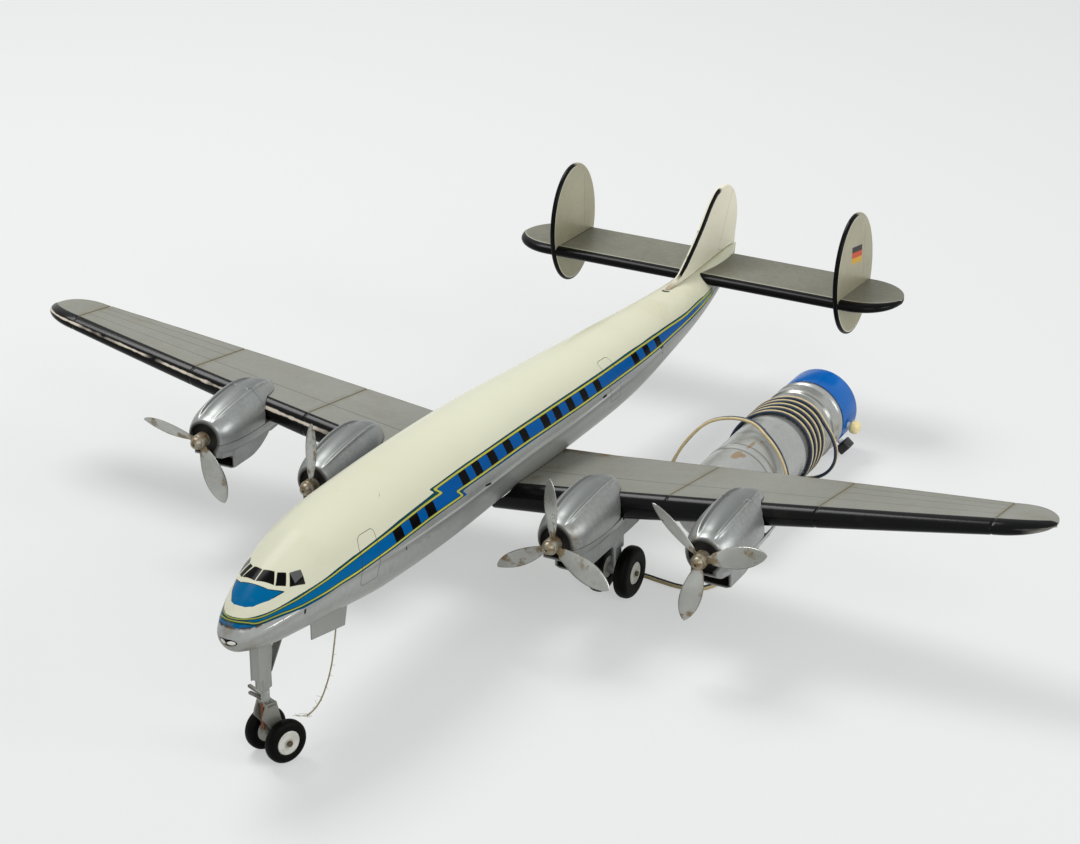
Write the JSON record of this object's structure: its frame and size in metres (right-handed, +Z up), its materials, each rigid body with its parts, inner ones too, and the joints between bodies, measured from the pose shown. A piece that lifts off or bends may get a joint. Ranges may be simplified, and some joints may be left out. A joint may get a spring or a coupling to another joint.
{
  "type": "tin toy airplane",
  "caption": "Tin toy airliner with propellers on each wing, oval tail fins, steerable nose wheels and a wired battery handset lying beside it.",
  "frame": {"origin": "on the floor, under the middle of the box round the airliner and its handset", "axes": "+Z up, nose towards -Y, the port wing and the handset towards +X"},
  "size_m": [0.51, 0.473, 0.1095],
  "materials": {
    "silver_tin": "satin silver paint",
    "cream_tin": "gloss lithographed enamel",
    "grey_tin": "satin grey-silver paint",
    "steel_wire": "drawn steel",
    "tinplate": "bare tinplate with rust",
    "dark_tin": "dull dark",
    "rusty_steel": "rusty",
    "tyre_rubber": "dull black rubber",
    "hub_white": "off-white enamel",
    "motor_steel": "plain",
    "string": "waxed string",
    "handset_silver": "satin silver paint",
    "blue_tin": "gloss blue enamel",
    "cell_jacket": "printed jacket",
    "fibre_board": "pressed fibre",
    "cream_plastic": "gloss",
    "black_plastic": "gloss",
    "cable_sheath": "soft twin sheath, cream and dark blue"
  },
  "bodies": {
    "airliner": {"upper_body_shell": "cream_tin", "lower_body_shell": "silver_tin", "nose_gear_doors": "silver_tin", "wing_spar": "silver_tin", "port_wing_upper_skin": "grey_tin", "port_wing_lower_skin": "grey_tin", "starboard_wing_upper_skin": "grey_tin", "starboard_wing_lower_skin": "grey_tin", "port_outer_cowl_top": "silver_tin", "port_inner_cowl_top": "silver_tin", "starboard_inner_cowl_top": "silver_tin", "starboard_outer_cowl_top": "silver_tin", "port_outer_cowl_bottom": "silver_tin", "port_inner_cowl_bottom": "silver_tin", "starboard_inner_cowl_bottom": "silver_tin", "starboard_outer_cowl_bottom": "silver_tin", "bearing_plates": "dark_tin", "port_tailplane": "grey_tin", "starboard_tailplane": "grey_tin", "centre_fin": "cream_tin", "port_fin": "grey_tin", "starboard_fin": "grey_tin", "nose_leg_housing": "silver_tin", "nose_leg_brace": "rusty_steel", "port_main_leg": "silver_tin", "starboard_main_leg": "silver_tin", "motor_case": "motor_steel", "motor_bracket": "tinplate", "drive_string": "string", "handset_tube": "handset_silver", "dry_cells": "cell_jacket", "switch_plate": "fibre_board", "cable_stretch": "cable_sheath", "cable_winding": "cable_sheath"},
    "port_outer_propeller": {"port_outer_prop_shaft": "steel_wire", "port_outer_prop_hub": "tinplate", "port_outer_prop_blades": "tinplate"},
    "port_inner_propeller": {"port_inner_prop_shaft": "steel_wire", "port_inner_prop_hub": "tinplate", "port_inner_prop_blades": "tinplate"},
    "starboard_inner_propeller": {"starboard_inner_prop_shaft": "steel_wire", "starboard_inner_prop_hub": "tinplate", "starboard_inner_prop_blades": "tinplate"},
    "starboard_outer_propeller": {"starboard_outer_prop_shaft": "steel_wire", "starboard_outer_prop_hub": "tinplate", "starboard_outer_prop_blades": "tinplate"},
    "nose_steering": {"nose_fork": "silver_tin"},
    "nose_wheels": {"nose_axle": "rusty_steel", "nose_tyres": "tyre_rubber", "nose_hub_discs": "hub_white"},
    "port_main_wheels": {"port_main_axle": "rusty_steel", "port_main_tyres": "tyre_rubber", "port_main_hub_discs": "hub_white"},
    "starboard_main_wheels": {"starboard_main_axle": "rusty_steel", "starboard_main_tyres": "tyre_rubber", "starboard_main_hub_discs": "hub_white"},
    "motor_rotor": {"motor_shaft": "steel_wire"},
    "battery_cap": {"handset_cap": "blue_tin"},
    "forward_push": {"forward_button": "cream_plastic"},
    "reverse_push": {"reverse_button": "black_plastic"}
  },
  "joints": [
    {"name": "port_outer_propeller_spin", "type": "hinge", "parent": "airliner", "child": "port_outer_propeller", "pos_m": [0.1248, -0.0715, 0.0554], "axis": [0, 1, 0], "continuous": true},
    {"name": "port_inner_propeller_spin", "type": "hinge", "parent": "airliner", "child": "port_inner_propeller", "pos_m": [0.0603, -0.0815, 0.0513], "axis": [0, 1, 0], "continuous": true},
    {"name": "starboard_inner_propeller_spin", "type": "hinge", "parent": "airliner", "child": "starboard_inner_propeller", "pos_m": [-0.0603, -0.0815, 0.0513], "axis": [0, 1, 0], "continuous": true},
    {"name": "starboard_outer_propeller_spin", "type": "hinge", "parent": "airliner", "child": "starboard_outer_propeller", "pos_m": [-0.1248, -0.0715, 0.0554], "axis": [0, 1, 0], "continuous": true},
    {"name": "nose_wheel_steering", "type": "hinge", "parent": "airliner", "child": "nose_steering", "pos_m": [0, -0.2115, 0.03], "axis": [0, 0, 1], "range_deg": [-13, 57]},
    {"name": "nose_wheel_roll", "type": "hinge", "parent": "nose_steering", "child": "nose_wheels", "pos_m": [0.0015, -0.20779, 0.0093], "axis": [0.9272, -0.3746, 0], "continuous": true},
    {"name": "port_main_wheel_roll", "type": "hinge", "parent": "airliner", "child": "port_main_wheels", "pos_m": [0.0603, -0.0201, 0.012], "axis": [1, 0, 0], "continuous": true},
    {"name": "starboard_main_wheel_roll", "type": "hinge", "parent": "airliner", "child": "starboard_main_wheels", "pos_m": [-0.0603, -0.0201, 0.012], "axis": [1, 0, 0], "continuous": true},
    {"name": "motor_spin", "type": "hinge", "parent": "airliner", "child": "motor_rotor", "pos_m": [0, -0.1565, 0.06679], "axis": [0, 1, 0], "continuous": true},
    {"name": "battery_cap_pull", "type": "slide", "parent": "airliner", "child": "battery_cap", "axis": [0, 1, 0], "range_m": [0, 0.014]},
    {"name": "forward_button_press", "type": "slide", "parent": "battery_cap", "child": "forward_push", "axis": [-0.9848, 0, 0.1736], "range_m": [0, 0.0015], "stiffness_N_per_m": 150, "springref_m": -0.001},
    {"name": "reverse_button_press", "type": "slide", "parent": "battery_cap", "child": "reverse_push", "axis": [-0.7547, 0, 0.6561], "range_m": [0, 0.0015], "stiffness_N_per_m": 150, "springref_m": -0.001}
  ]
}
